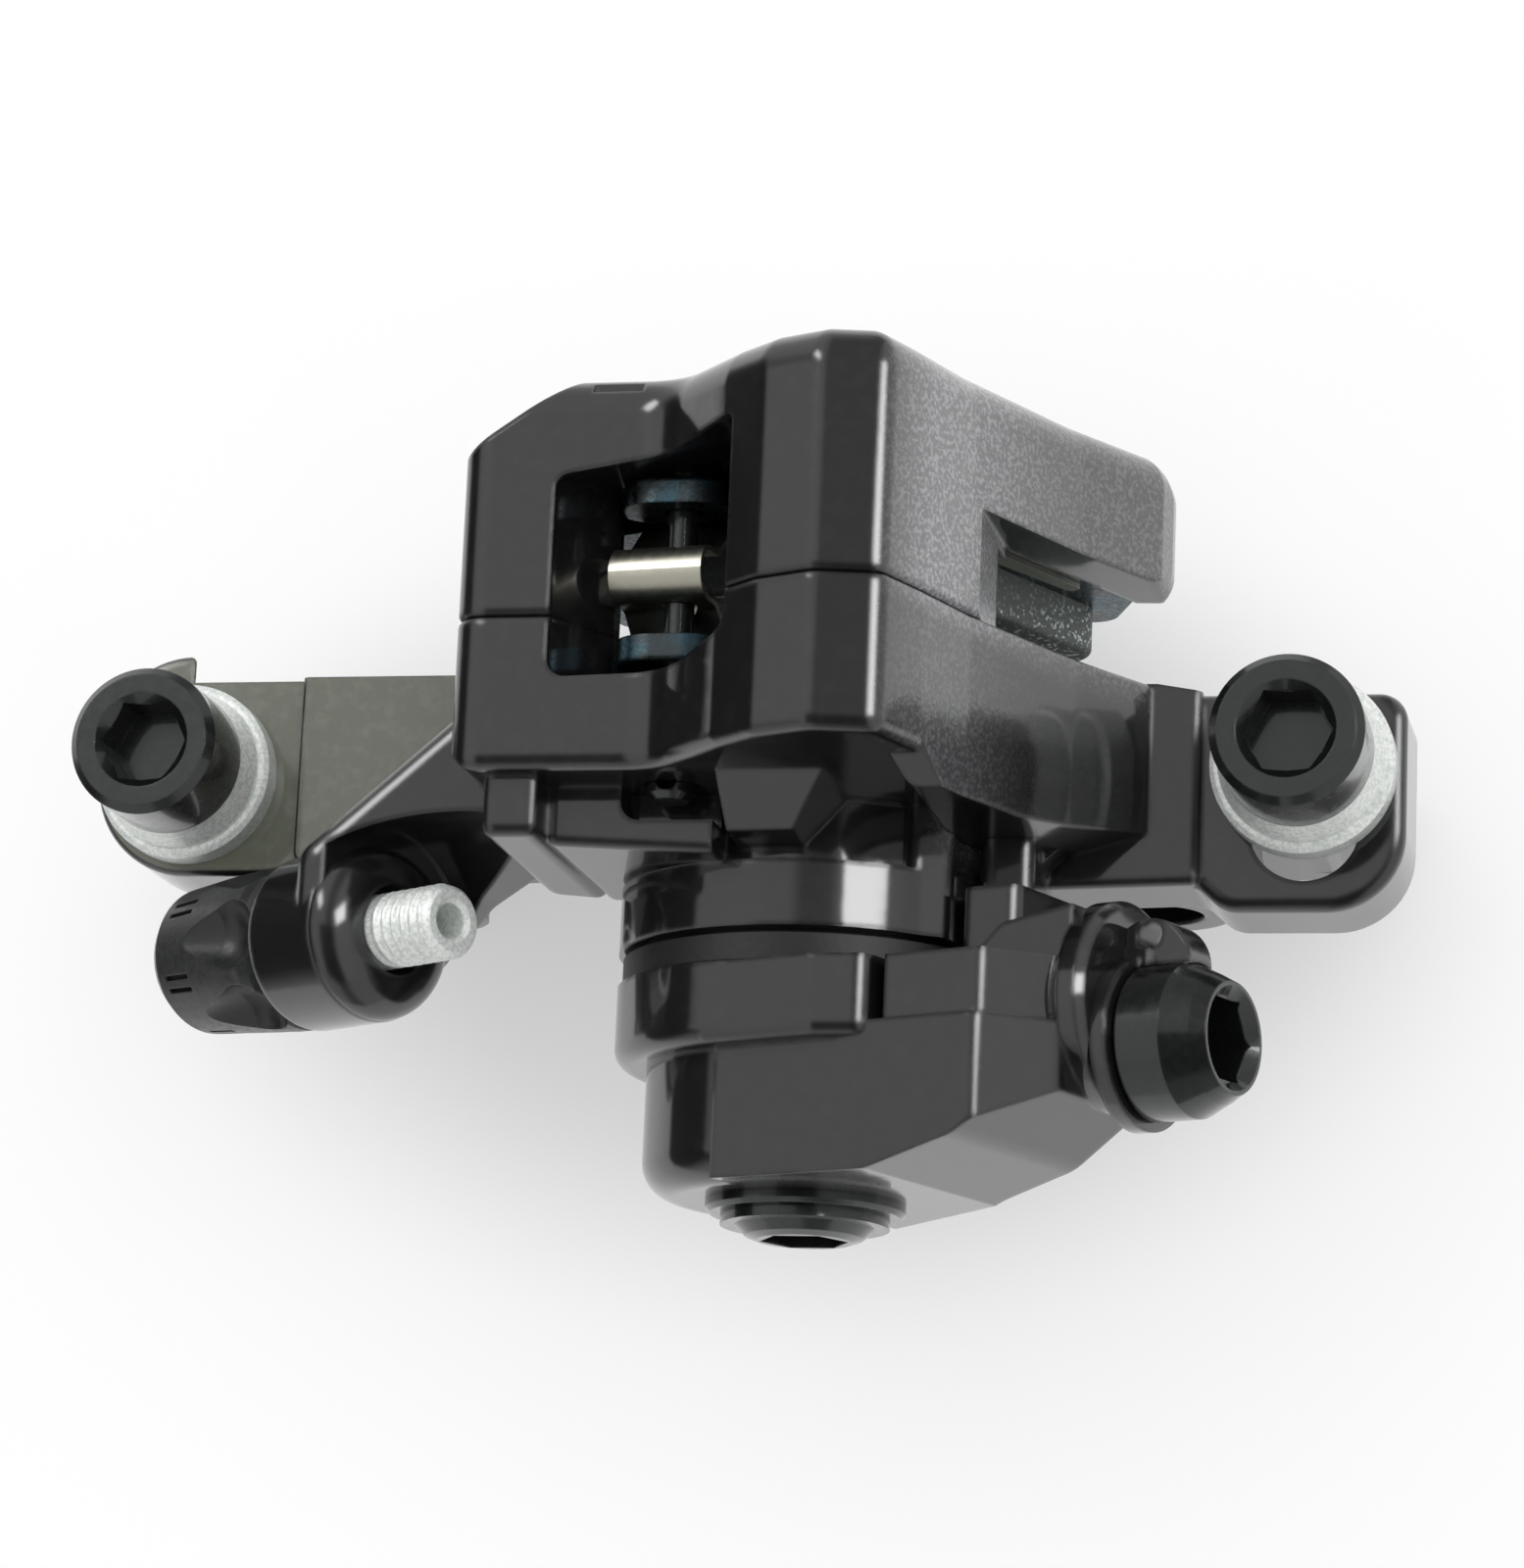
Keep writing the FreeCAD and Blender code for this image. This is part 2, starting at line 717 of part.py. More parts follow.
def dished_washer(x):
    ring = turned([(0, mount_shank_r + 0.4), (0, washer_r), (washer_t - 0.3, washer_r),
                   (washer_t, washer_r - 0.3), (washer_t, ball_washer_r),
                   (washer_t - 0.8, mount_shank_r + 0.4)], V(x, 0, 0), V(0, 0, 1))
    return ring


def ball_washer(x):
    inner = mount_shank_r + 0.2
    outline = [(washer_t - 0.8, mount_shank_r + 0.4), (washer_t, ball_washer_r),
               (washer_t + 0.5, ball_washer_r), (washer_t + ball_washer_t, mount_head_r - 0.2),
               (washer_t + ball_washer_t, inner), (washer_t - 0.8, inner)]
    return turned(outline, V(x, 0, 0), V(0, 0, 1))


def mount_bolt(x):
    base = washer_t + ball_washer_t
    top = base + mount_head_h
    mouth = hex_key / math.sqrt(3)
    shape = turned([
        (base - mount_len, 0), (base - mount_len, mount_shank_r - 0.6),
        (base - mount_len + 0.6, mount_shank_r), (base, mount_shank_r), (base, mount_head_r),
        (top - 0.5, mount_head_r), (top, mount_head_r - 0.5), (top, mouth + 0.25),
        (top - 0.7, mouth - 0.35), (top - 0.7, 0)], V(x, 0, 0), V(0, 0, 1))
    return shape.cut(hexagon(hex_key, 3.3, V(x, 0, top - 3.3), V(0, 0, 1)))


def body_bolt(x, z, r, top):
    base = top - 2 * r
    head_r = bolt_head_r(r)
    shape = turned([
        (arm_face_y + 1.6, 0), (arm_face_y + 1.6, r), (base, r),
        (base, head_r), (top - 0.3, head_r), (top, head_r - 0.3),
        (top, 0)], V(x, 0, z), V(0, 1, 0))
    return shape.cut(hexagon(r * 1.6, r, V(x, top - r, z), V(0, 1, 0)))


def pad_pin():
    head0 = pin_head_y
    head1 = pin_head_y + pin_head_len
    shape = turned([
        (head0, 0), (head0, pin_head_r - 0.4), (head0 + 0.4, pin_head_r), (head1, pin_head_r),
        (head1, pin_r), (wheel_face_y - 2.0, pin_r), (wheel_face_y - 1.7, pin_r - 0.3),
        (wheel_face_y - 1.7, 0)], V(pin_x, 0, pin_z), V(0, 1, 0))
    clip_hole = Part.makeCylinder(pin_hole_r, 4 * pin_head_r,
                                  V(pin_x, head0 + 1.15, pin_z - 2 * pin_head_r), V(0, 0, 1))
    return shape.cut(clip_hole)


def pad_plate(side):
    """Steel plate of one pad, with the ear that hangs on the pin."""
    x0 = ear_pad_x - ear_pad_w / 2
    x1 = ear_pad_x + ear_pad_w / 2
    low = ear_pad_top_z - 4.8
    outline = [
        (pad_foot_x0, pad_bottom_z, 1.5), (pad_side_x0, pad_side_z, 2.0),
        (pad_shoulder_x0, pad_top_z, 1.5),
        (x0 + ear_pad_neck, pad_top_z + 1.4, 0.8), (x0 + ear_pad_neck, low, 0.4),
        (x0, low + 1.0, 0.8), (x0, ear_pad_top_z, 2.6), (x1, ear_pad_top_z, 2.6),
        (x1, low + 1.0, 0.8), (x1 - ear_pad_neck, low, 0.4),
        (x1 - ear_pad_neck, pad_top_z + 1.4, 0.8),
        (pad_shoulder_x1 - 1.4, pad_top_z + 1.0, 2.0), (pad_shoulder_x1, pad_shoulder_z, 1.0),
        (pad_side_x1, pad_side_z, 2.4), (pad_foot_x1, pad_bottom_z, 2.0)]
    near = plate_y(side)
    far = near + side * plate_thick
    plate = slab_y(outline, min(near, far), max(near, far))
    plate = soften(plate, 0.35, at_level("y", far))
    return plate.cut(rod(pin_r + pad_clear, pin_x, pin_z, 0, 30))


def pad_lining(side):
    outline = [
        (pad_foot_x0 + lining_side, pad_bottom_z + lining_foot, 2.0),
        (pad_side_x0 + lining_side, pad_side_z, 2.0),
        (pad_shoulder_x0 + lining_side, pad_top_z - lining_top, 2.5),
        (pad_shoulder_x1 - 3.8, pad_top_z - lining_top, 2.5),
        (lining_right_x, lining_right_z, 2.0),
        (pad_foot_x1 - lining_side, pad_bottom_z + lining_foot, 2.0)]
    near = lining_y(side)
    far = plate_y(side)
    lining = slab_y(outline, min(near, far), max(near, far))
    return soften(lining, 0.5, at_level("y", near))


def pad_spring():
    """Folded leaf spring: a fold over the rotor and a leg along each plate."""
    y_out = plate_y(1) - 0.02 - rotor_y
    t = leaf_thick
    mid_z = fold_z
    low_z = pad_top_z + 0.4
    outer = [(-y_out, low_z, 0), (-y_out, low_z + 1.4, 1.0), (-fold_r, mid_z - 1.2, 1.0),
             (-fold_r, mid_z + fold_r, fold_r - 0.02), (fold_r, mid_z + fold_r, fold_r - 0.02),
             (fold_r, mid_z - 1.2, 1.0), (y_out, low_z + 1.4, 1.0), (y_out, low_z, 0)]
    inner = [(y_out - t, low_z, 0), (y_out - t, low_z + 1.2, 0.7), (fold_r - t, mid_z - 1.4, 1.3),
             (fold_r - t, mid_z + fold_r - t, fold_r - t - 0.02),
             (-fold_r + t, mid_z + fold_r - t, fold_r - t - 0.02),
             (-fold_r + t, mid_z - 1.4, 1.3), (-y_out + t, low_z + 1.2, 0.7),
             (-y_out + t, low_z, 0)]
    strip = [(rotor_y + y, z, r) for y, z, r in outer + inner]
    fold = slab_x(strip, ear_pad_x - fold_len / 2, ear_pad_x + fold_len / 2)
    fold.rotate(V(ear_pad_x, rotor_y, low_z), V(0, 1, 0), -fold_tilt)
    legs = []
    for side in (-1, 1):
        y_far = rotor_y + side * y_out
        y_near = y_far - side * t
        x_end = ear_pad_x + fold_len / 2
        leg = slab_y([
            (x_end - 5.6, low_z - 1.1, 0.4), (x_end - 5.6, low_z + 0.4, 0),
            (15.6, low_z + 0.4, 1.4), (16.8, 7.4, 1.4), (21.8, -3.4, 0.5),
            (20.9, -4.0, 0.5), (15.4, 6.6, 1.0), (14.4, low_z - 1.1, 1.0)],
            min(y_far, y_near), max(y_far, y_near))
        legs.append(leg)
    return joined([fold] + legs).cut(rod(pin_r + slide_clear, pin_x, pin_z, 0, 30))


def race(y):
    return Part.makeTorus(ball_pitch_r, ball_r + turn_clear, V(cam_x, y, cam_z), V(0, 1, 0))


def fixed_ramp():
    top = ball_y - ball_r + race_depth
    ring = rod(bore_r, cam_x, cam_z, bore_floor_y, top)
    return less(ring, [rod(shaft_r + turn_clear, cam_x, cam_z, -20, 0), race(ball_y)])


def spindle_top():
    return ball_y + ball_r - race_depth + ramp_thick


def ramp_spindle():
    low = ball_y + ball_r - race_depth
    top = spindle_top()
    disc = rod(bore_r - 0.3, cam_x, cam_z, low, top)
    shaft = rod(shaft_r, cam_x, cam_z, arm_end_y + 2.2, low)
    solid = joined([disc, shaft]).cut(race(ball_y))
    solid = solid.cut(rod(stem_r + turn_clear, cam_x, cam_z, top - 2.2, top + 1))
    return solid.cut(rod(mount_shank_r, cam_x, cam_z, arm_end_y, arm_end_y + 12))


def ball_cage():
    ring = rod(bore_r - 0.3, cam_x, cam_z, ball_y - cage_thick / 2, ball_y + cage_thick / 2)
    tools = [rod(shaft_r + 0.3, cam_x, cam_z, -20, 0)]
    for x, z in ball_places():
        tools.append(Part.makeSphere(ball_r + 0.02, V(x, ball_y, z)))
    return less(ring, tools)


def ball_places():
    places = []
    for k in range(3):
        a = math.radians(90 + 120 * k)
        places.append((cam_x + ball_pitch_r * math.cos(a), cam_z + ball_pitch_r * math.sin(a)))
    return places


def pressure_foot():
    back = plate_y(-1) - plate_thick
    bottom = spindle_top() - 2.2
    return turned([
        (bottom, 0), (bottom, stem_r), (back - foot_thick, stem_r),
        (back - foot_thick, foot_r), (back - 0.4, foot_r), (back, foot_r - 0.4), (back, 0)],
        V(cam_x, 0, cam_z), V(0, 1, 0))


def dust_seal():
    ring = turned([
        (seal_end_y, shaft_r + 0.3), (seal_end_y, seal_r), (seal_lip_y, seal_r),
        (seal_lip_y, seal_lip_r), (housing_end_y, seal_lip_r), (housing_end_y, shaft_r + 0.3)],
        V(cam_x, 0, cam_z), V(0, 1, 0))
    return ring


def return_spring():
    """Coil under the arm's skirt, of wire with an eight sided section."""
    start = arm_cup_y + coil_wire_r + 0.1
    rise = seal_end_y - coil_wire_r - 0.1 - start
    path = Part.makeHelix(rise / coil_turns, rise, coil_r)
    corners = []
    for k in range(9):
        a = math.radians(45 * k)
        corners.append(V(coil_r + coil_wire_r * math.cos(a), 0, coil_wire_r * math.sin(a)))
    coil = Part.Wire(path.Edges).makePipeShell([Part.makePolygon(corners)], True, True)
    coil.Placement = FreeCAD.Placement(V(cam_x, start, cam_z),
                                       FreeCAD.Rotation(V(0, 0, 1), V(0, 1, 0)))
    return coil


def arm_frame(shape):
    """Turn a shape made with the arm along X to where the arm points at rest."""
    shape.rotate(V(0, 0, 0), V(0, 1, 0), -arm_lift)
    shape.translate(V(cam_x, 0, cam_z))
    return shape


def brake_arm():
    hub = rod(arm_hub_r, 0, 0, arm_end_y, arm_top_y)
    hub = soften(hub, 2.2, at_level("y", arm_end_y))
    skirt = rod(arm_skirt_r, 0, 0, arm_skirt_y, arm_top_y)
    skirt = soften(skirt, 1.2, at_level("y", arm_skirt_y))
    tab = slab_y([
        (0, arm_skirt_r - 0.1, 0),
        (8.0, arm_skirt_r - 0.2, 1.5),
        (11.2, arm_skirt_r - 1.4, 1.2),
        (tab_end_x, 4.0, 0),
        (0, 4.0, 0)], arm_skirt_y, arm_top_y)
    tab = soften(tab, 0.8, lambda e: at_level("y", arm_skirt_y)(e)
                 and e.CenterOfMass.z > 4.1 and e.CenterOfMass.x > 0.1)
    neck = slab_y([
        (0, arm_front_z, 0), (arm_reach_x, arm_front_z, 1.0), (arm_flange_x + 0.6, 6.0, 1.5),
        (arm_flange_x + 0.6, -3.4, 1.0), (12.0, -4.2, 4.0), (0, -10.6, 0)],
        arm_end_y, arm_top_y - step_deep)
    step = slab_y([
        (9.0, -4.2, 0), (9.0, 6.0, 0), (step_x0, 6.0, 0), (step_x0, arm_front_z - 0.5, 0.3),
        (arm_reach_x, arm_front_z - 0.5, 0.8), (arm_flange_x + 0.6, 5.0, 1.5),
        (arm_flange_x + 0.6, -3.4, 1.0), (12.0, -4.2, 3.0)],
        arm_top_y - step_deep - 0.5, arm_top_y)
    under = slab_z([
        (11.0, arm_end_y - 0.1, 0), (17.6, arm_end_y + 1.8, 4.0),
        (arm_flange_x + 1.0, arm_end_y + 5.2, 0), (arm_flange_x + 1.0, arm_end_y - 5, 0),
        (11.0, arm_end_y - 5, 0)], -20, 20)
    neck = neck.cut(under)
    lug = slab_y([
        (13.6, -3.6, 0.8), (13.6, 4.4, 0.8), (17.6, 4.4, 1.0), (17.6, -3.6, 0.8)],
        arm_top_y - 4, arm_top_y + 5.2)
    rib = slab_z([
        (11.0, arm_top_y - 3, 0), (17.0, arm_top_y + 2.6, 1.2),
        (arm_flange_x + 0.5, arm_top_y + 3.4, 0), (arm_flange_x + 0.5, arm_end_y + 5, 0),
        (15.0, arm_end_y + 4, 0)], -4.4, 5.0)
    flange = turned([
        (arm_flange_x, 0), (arm_flange_x, arm_flange_r - 0.5),
        (arm_flange_x + 0.5, arm_flange_r), (arm_flange_x + arm_flange_thick - 0.5, arm_flange_r),
        (arm_flange_x + arm_flange_thick, arm_flange_r - 0.5),
        (arm_flange_x + arm_flange_thick, 0)], V(0, arm_flange_y, 0), V(1, 0, 0))
    solid = joined([hub, skirt, tab, neck, step, lug, rib, flange])
    solid = less(solid, [
        rod(arm_cup_r, 0, 0, arm_cup_y, 10),
        rod(shaft_r, 0, 0, arm_end_y + 2.2, 0),
        rod(mount_shank_r + 0.1, 0, 0, arm_end_y - 1, 0),
        Part.makeCylinder(clamp_shank_r, 12, V(arm_flange_x + arm_flange_thick - 9, clamp_y, 0),
                          V(1, 0, 0))])
    return arm_frame(solid)


def clamp_plate():
    """Plate under the clamp screw, with the eye that guides the cable."""
    x0 = arm_flange_x + arm_flange_thick
    disc = Part.makeCylinder(clamp_head_r + 0.6, clamp_plate_thick, V(x0, clamp_y, 0), V(1, 0, 0))
    lobe = Part.makeCylinder(lobe_r, 2.6, V(x0 + 1.7, clamp_y + 4.7, -1.3), V(0, 0, 1))
    arm = box(x0, x0 + 1.8, clamp_y + 2.9, clamp_y + 6.0, -1.6, 1.6)
    arm = arm.cut(Part.makeCylinder(clamp_head_r + 0.05, 5, V(x0 + clamp_plate_thick, clamp_y, 0),
                                    V(1, 0, 0)))
    lobe = lobe.cut(Part.makeCylinder(clamp_head_r + 0.05, 9, V(x0 + clamp_plate_thick, clamp_y, 0),
                                      V(1, 0, 0)))
    solid = joined([disc, arm, lobe.cut(box(0, x0, -40, 0, -5, 5))])
    solid = less(solid, [
        Part.makeCylinder(clamp_shank_r, 9, V(x0 - 4, clamp_y, 0), V(1, 0, 0)),
        Part.makeCylinder(lobe_hole_r, 9, V(x0 + 1.7, clamp_y + 6.6, -4), V(0, 0, 1))])
    return arm_frame(solid)


def clamp_bolt():
    base = arm_flange_x + arm_flange_thick + clamp_plate_thick
    end = base + clamp_head_len
    mouth = hex_key / math.sqrt(3)
    shape = turned([
        (base - 9, 0), (base - 9, clamp_shank_r), (base, clamp_shank_r),
        (base, clamp_head_r - 0.3), (base + 0.3, clamp_head_r), (end - 2.6, clamp_head_r),
        (end - 0.9, clamp_head_r - 0.8), (end, clamp_nose_r), (end, mouth + 0.35),
        (end - 0.7, mouth - 0.2), (end - 0.7, 0)], V(0, clamp_y, 0), V(1, 0, 0))
    return arm_frame(shape.cut(hexagon(hex_key, 4.4, V(end - 4.4, clamp_y, 0), V(1, 0, 0))))


def arm_washer():
    low = arm_end_y - arm_washer_t
    return turned([(low, mount_shank_r + 0.1), (low, arm_washer_r - 0.3),
                   (low + 0.3, arm_washer_r), (arm_end_y, arm_washer_r),
                   (arm_end_y, mount_shank_r + 0.1)], V(cam_x, 0, cam_z), V(0, 1, 0))


def arm_bolt():
    base = arm_end_y - arm_washer_t
    low = base - button_h
    mouth = hex_key / math.sqrt(3)
    shape = turned([
        (low, 0), (low, mouth + 0.2), (low + 0.25, mouth + 0.9), (low + 0.9, button_r - 0.9),
        (base - 0.7, button_r), (base, button_r), (base, mount_shank_r),
        (arm_end_y + 11, mount_shank_r), (arm_end_y + 11, 0)], V(cam_x, 0, cam_z), V(0, 1, 0))
    return shape.cut(hexagon(hex_key, 2.2, V(cam_x, low, cam_z), V(0, 1, 0)))


def barrel_screw():
    """Threaded tube through the cable stop, seen as a row of thread crests."""
    start = -stop_len - knob_gap - knob_len + casing_seat_deep
    points = [(start, barrel_bore_r), (start, barrel_r)]
    along = 0.9
    points.append((along, barrel_r))
    while along + thread_pitch < barrel_out - 0.5:
        points.append((along + thread_pitch / 2, barrel_r - thread_depth))
        along += thread_pitch
        points.append((along, barrel_r))
    points.append((barrel_out - 0.4, barrel_r))
    points.append((barrel_out, barrel_r - 0.4))
    points.append((barrel_out, barrel_bore_r + 0.35))
    points.append((barrel_out - 0.4, barrel_bore_r))
    return turned(points, V(stop_end_x, stop_end_y, stop_end_z), stop_axis())


def barrel_knob():
    """Fluted knob that turns the barrel screw."""
    base = V(0, 0, -stop_len - knob_gap)
    length = knob_len
    body = turned([
        (0, barrel_r), (0, knob_r - 0.3), (-0.4, knob_r), (-1.4, knob_r),
        (-length + 1.4, knob_end_r + 0.2), (-length + 0.4, knob_end_r - 0.5),
        (-length, knob_end_r - 1.0), (-length, casing_seat_r + 0.3),
        (-length + 0.3, casing_seat_r), (-length + casing_seat_deep, casing_seat_r),
        (-length + casing_seat_deep, barrel_r)], base, V(0, 0, 1))
    tools = []
    for k in range(knob_flutes):
        a = 360.0 / knob_flutes * k
        flute = Part.makeCone(0.4, 2.7, length - 3.4, V(knob_r + 0.9, 0, -length + 1.2),
                              V(0, 0, 1))
        flute = flute.fuse(Part.makeSphere(2.7, V(knob_r + 0.9, 0, -2.2)))
        flute.translate(base)
        flute.rotate(V(0, 0, 0), V(0, 0, 1), a)
        tools.append(flute)
        for shift in (-5.0, 5.0):
            slot = box(knob_end_r - 0.1, knob_r + 1, -0.16, 0.16, -length + 2.2, -length + 4.6)
            slot.translate(base)
            slot.rotate(V(0, 0, 0), V(0, 0, 1), a + 180.0 / knob_flutes + shift)
            tools.append(slot)
    knob = less(body, tools)
    knob.Placement = FreeCAD.Placement(V(stop_end_x, stop_end_y, stop_end_z),
                                       FreeCAD.Rotation(V(0, 0, 1), stop_axis()))
    return knob


def set_screw():
    """Disc and threaded shank behind the wheel side pad."""
    back = pad_back_y()
    top = wheel_face_y + dial_h - 0.6
    return turned([
        (back, 0), (back, set_disc_r), (back + set_disc_t, set_disc_r),
        (back + set_disc_t, set_shank_r), (top, set_shank_r), (top, 0)],
        V(cam_x, 0, cam_z), V(0, 1, 0)).cut(hexagon(hex_key, 3.0, V(cam_x, top - 3.0, cam_z),
                                                    V(0, 1, 0)))


def set_dial():
    y0 = wheel_face_y
    ring = turned([
        (y0, set_shank_r), (y0, dial_r), (y0 + dial_h - 0.6, dial_r),
        (y0 + dial_h, dial_r - 0.6), (y0 + dial_h, set_shank_r)],
        V(cam_x, 0, cam_z), V(0, 1, 0))
    tools = []
    for k in range(dial_notches):
        a = math.radians(360.0 / dial_notches * k)
        reach = dial_r + 0.5
        tools.append(rod(1.1, cam_x + reach * math.cos(a), cam_z + reach * math.sin(a),
                         y0 - 1, y0 + dial_h + 1))
    return less(ring, tools)


def save(name, shape):
    """Move a piece to the library frame and write it."""
    solids = shape.Solids
    solid = max(solids, key=lambda s: s.Volume) if len(solids) > 1 else solids[0]
    placed = solid.copy()
    placed.translate(V(0, -bracket_y0, -frame_hole_z))
    placed.exportStep("parts/" + name + ".step")
    note = "" if placed.isValid() and len(solids) == 1 else "  CHECK %d" % len(solids)
    print(name, round(placed.Volume, 1), note)


half_span = mount_spacing / 2
pieces = {
    "arm_side_body": arm_side_body,
    "wheel_side_body": wheel_side_body,
    "adapter_bracket": adapter_bracket,
    "pad_pin": pad_pin,
    "pad_spring": pad_spring,
    "fixed_ramp": fixed_ramp,
    "ramp_spindle": ramp_spindle,
    "ball_cage": ball_cage,
    "pressure_foot": pressure_foot,
    "dust_seal": dust_seal,
    "return_spring": return_spring,
    "brake_arm": brake_arm,
    "clamp_plate": clamp_plate,
    "clamp_bolt": clamp_bolt,
    "arm_washer": arm_washer,
    "arm_bolt": arm_bolt,
    "barrel_screw": barrel_screw,
    "barrel_knob": barrel_knob,
    "set_screw": set_screw,
    "set_dial": set_dial,
}
for name, make in pieces.items():
    save(name, make())
for label, side in (("left", -1), ("right", 1)):
    save("dished_washer_" + label, dished_washer(side * half_span))
    save("ball_washer_" + label, ball_washer(side * half_span))
    save("mount_bolt_" + label, mount_bolt(side * half_span))
for label, place in zip(("left", "right"), body_bolts()):
    save("body_bolt_" + label, body_bolt(*place))
for label, side in (("arm", -1), ("wheel", 1)):
    save(label + "_pad_plate", pad_plate(side))
    save(label + "_pad_lining", pad_lining(side))
for label, (x, z) in zip("abc", ball_places()):
    save("ramp_ball_" + label, Part.makeSphere(ball_r, V(x, ball_y, z)))
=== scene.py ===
import math

import bmesh
import bpy
from mathutils import Matrix, Vector


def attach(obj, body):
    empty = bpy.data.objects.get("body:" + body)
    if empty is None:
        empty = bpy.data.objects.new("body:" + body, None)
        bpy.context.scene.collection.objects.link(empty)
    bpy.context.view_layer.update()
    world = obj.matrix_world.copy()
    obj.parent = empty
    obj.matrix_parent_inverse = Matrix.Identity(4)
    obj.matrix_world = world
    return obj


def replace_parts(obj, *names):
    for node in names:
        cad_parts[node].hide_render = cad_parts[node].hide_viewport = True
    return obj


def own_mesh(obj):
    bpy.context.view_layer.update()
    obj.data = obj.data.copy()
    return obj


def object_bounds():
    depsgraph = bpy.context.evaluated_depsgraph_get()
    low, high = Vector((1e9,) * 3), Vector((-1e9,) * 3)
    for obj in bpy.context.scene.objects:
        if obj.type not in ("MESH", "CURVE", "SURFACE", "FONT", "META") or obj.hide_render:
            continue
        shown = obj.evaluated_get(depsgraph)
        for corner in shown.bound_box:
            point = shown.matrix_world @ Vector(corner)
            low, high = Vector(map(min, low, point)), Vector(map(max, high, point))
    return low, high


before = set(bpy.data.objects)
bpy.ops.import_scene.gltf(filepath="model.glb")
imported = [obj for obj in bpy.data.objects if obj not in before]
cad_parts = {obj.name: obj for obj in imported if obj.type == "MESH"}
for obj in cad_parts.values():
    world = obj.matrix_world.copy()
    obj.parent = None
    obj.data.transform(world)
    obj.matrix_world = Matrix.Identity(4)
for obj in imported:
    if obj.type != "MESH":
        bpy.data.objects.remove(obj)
cad_low, cad_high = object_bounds()

MM = 0.001

# Camera: turned from the row frame's axes, in degrees, and placed in millimetres
camera_turn = (-13.26, -12.66, -2.51)
camera_place = (76.17, -74.53, 346.70)
camera_lens = 123.6
camera_film = 36.0
camera_clip = (0.01, 20.0)

# Paper sheet, in metres. Its glow, where a white background is 1, rises outwards over these shares of
# the caliper's footprint, whose half widths are in millimetres. The dimmer glow under the caliper is
# painted shade.
sheet_radius = 0.16
sheet_sides = 96
sheet_drop = 0.0003
sheet_glow = (0.5, 0.64)
painted_shade_span = (0.5, 1.1)
footprint = (46.0, 30.0)

# Soft boxes that only the gloss sees: name, direction, width, height and radiance
box_reach = 0.9
gloss_boxes = (("key_box", (0.600, 0.250, 0.762), 0.21, 0.38, 9.5),
               ("back_box", (-0.513, 0.513, 0.688), 0.17, 0.40, 7.5))

# Soft box that only matt surfaces see
fill_place = (0.0, 0.15, 0.8)
fill_size = 1.4
fill_level = 1.1

# Radiance of the room by direction: the axis, from where to where, and the values at those two ends.
# It is dark low down on the left, dimmer in a strip overhead, and dark in a patch in front.
room_fades = {
    "sky": ("Z", 0.40, 0.47, 0.0, 0.77),
    "left_wall": ("X", -0.90, -0.70, 0.015, 0.7),
    "strip_left": ("X", -0.10, 0.06, 1.0, 0.40),
    "strip_right": ("X", 0.30, 0.42, 0.40, 1.0),
    "patch_left": ("X", -0.45, -0.30, 1.0, 0.0),
    "patch_right": ("X", 0.35, 0.50, 0.0, 1.0),
    "patch_low": ("Z", 0.3, 0.6, 1.0, 0.0),
    "patch_back": ("Y", 0.0, 0.14, 0.12, 1.0)}
room_steps = (
    ("room", "MAXIMUM", "sky", "left_wall"),
    ("strip", "MAXIMUM", "strip_left", "strip_right"),
    ("clear", "MAXIMUM", "patch_left", "patch_right"),
    ("clear", "MAXIMUM", "clear", "patch_low"),
    ("clear", "MAXIMUM", "patch_back", "clear"),
    ("light", "MULTIPLY", "room", "strip"),
    ("light", "MULTIPLY", "light", "clear"))

# Lacquer: its grains with the size of their spots in millimetres, detail and roughness
lacquer_grains = {"peel": (1.1, 1.0, 0.5), "grit": (0.16, 3.0, 0.6), "dust": (0.5, 3.0, 0.5)}
lacquer_depth = 0.035
lacquer_edge = 0.45

# Where the lacquer shows its casting: x, y and z in millimetres, tilts as parts of the normal.
# The slanted faces beyond the crown kept the sand's grain, and the left ear's top is thinly coated.
lacquer_fades = {
    "slanted": ("tilt_x", 0.25, 0.5, 0.0, 1.0),
    "beyond_crown": ("x", 14.0, 17.0, 0.0, 1.0),
    "body_side": ("y", -3.0, 0.0, 0.0, 1.0),
    "wheel_half": ("y", 9.0, 12.0, 0.0, 1.0),
    "near_crown": ("x", 17.0, 23.0, 1.0, 0.0),
    "left_ear": ("x", -15.0, -16.5, 0.0, 1.0),
    "level": ("tilt_z", 0.8, 0.95, 0.0, 1.0),
    "ear_height": ("z", 18.0, 20.0, 1.0, 0.0),
    "dusty": ("dust", 0.45, 0.7, 0.0, 1.0),
    "speckled": ("grit", 0.45, 0.62, 0.0, 1.0)}
lacquer_steps = (
    ("arm_half", "MULTIPLY", "near_crown", 0.33),
    ("cover", "MAXIMUM", "wheel_half", "arm_half"),
    ("cover", "MULTIPLY", "body_side", "cover"),
    ("sand", "MULTIPLY", "slanted", "beyond_crown"),
    ("sand", "MULTIPLY", "sand", "cover"),
    ("thin", "MULTIPLY", "left_ear", "level"),
    ("thin", "MULTIPLY", "thin", "ear_height"),
    ("ripple", "MULTIPLY", "peel", 0.25))

